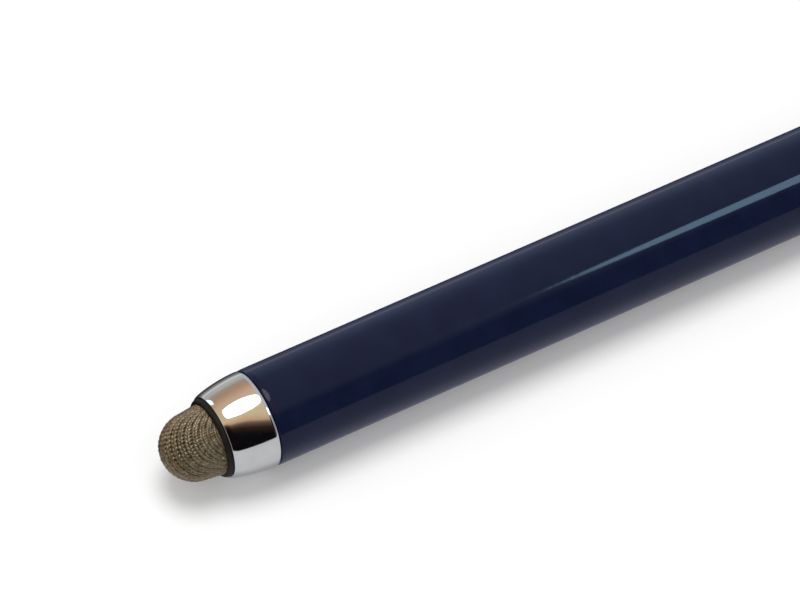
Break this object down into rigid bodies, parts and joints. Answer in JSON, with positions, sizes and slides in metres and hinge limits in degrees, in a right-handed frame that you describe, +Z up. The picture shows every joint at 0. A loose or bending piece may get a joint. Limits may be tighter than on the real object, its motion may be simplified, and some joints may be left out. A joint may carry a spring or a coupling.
{
  "type": "stylus pen",
  "caption": "Slim round stylus pen: knit capacitive tip in a bright nose, navy tube, and a ballpoint under a clip cap.",
  "frame": {"origin": "on the pen axis, halfway along the barrel tube", "axes": "+X along the pen from the stylus tip to the crown of the cap, +Z up with the pen lying rolled onto its clip"},
  "size_m": [0.1307, 0.011, 0.0088],
  "materials": {
    "conductive_knit": "conductive knit, grey brown",
    "tip_foam": "carbon filled elastomer",
    "black_plastic": "moulded black plastic",
    "black_lacquer": "black satin",
    "brass": "turned brass",
    "seal_rubber": "nitrile rubber",
    "bright_chrome": "polished chrome plate",
    "navy_lacquer": "navy gloss lacquer over metal tube",
    "refill_metal": "drawn tube",
    "ink": "blue ink paste",
    "steel": "steel"
  },
  "bodies": {
    "barrel": {"nose_cone": "bright_chrome", "nose_insert": "brass", "barrel": "navy_lacquer", "refill_stop": "black_plastic", "section_bush": "brass", "barrel_ring": "bright_chrome"},
    "tip": {"tip_cover": "conductive_knit", "tip_core": "tip_foam", "tip_collar": "black_plastic", "tip_stud": "brass", "tip_seal": "seal_rubber"},
    "section": {"grip_section": "black_lacquer", "grip_ring": "seal_rubber", "refill_tube": "refill_metal", "refill_ink": "ink", "refill_point": "brass", "refill_ball": "steel"},
    "cap": {"cap_lip": "bright_chrome", "cap_tube": "navy_lacquer", "cap_liner": "black_plastic", "crown": "bright_chrome", "crown_screw": "steel"},
    "clip": {"clip": "bright_chrome"}
  },
  "joints": [
    {"name": "tip_unscrew", "type": "slide", "parent": "barrel", "child": "tip", "axis": [-1, 0, 0], "range_m": [0, 0.006]},
    {"name": "section_unscrew", "type": "slide", "parent": "barrel", "child": "section", "axis": [1, 0, 0], "range_m": [0, 0.04]},
    {"name": "cap_pull", "type": "slide", "parent": "section", "child": "cap", "axis": [1, 0, 0], "range_m": [0, 0.035]},
    {"name": "clip_flex", "type": "hinge", "parent": "cap", "child": "clip", "pos_m": [0.08131, -0.00299, -0.00156], "axis": [0, -0.4622, 0.8868], "range_deg": [0, 5], "stiffness_Nm_per_rad": 0.6}
  ]
}
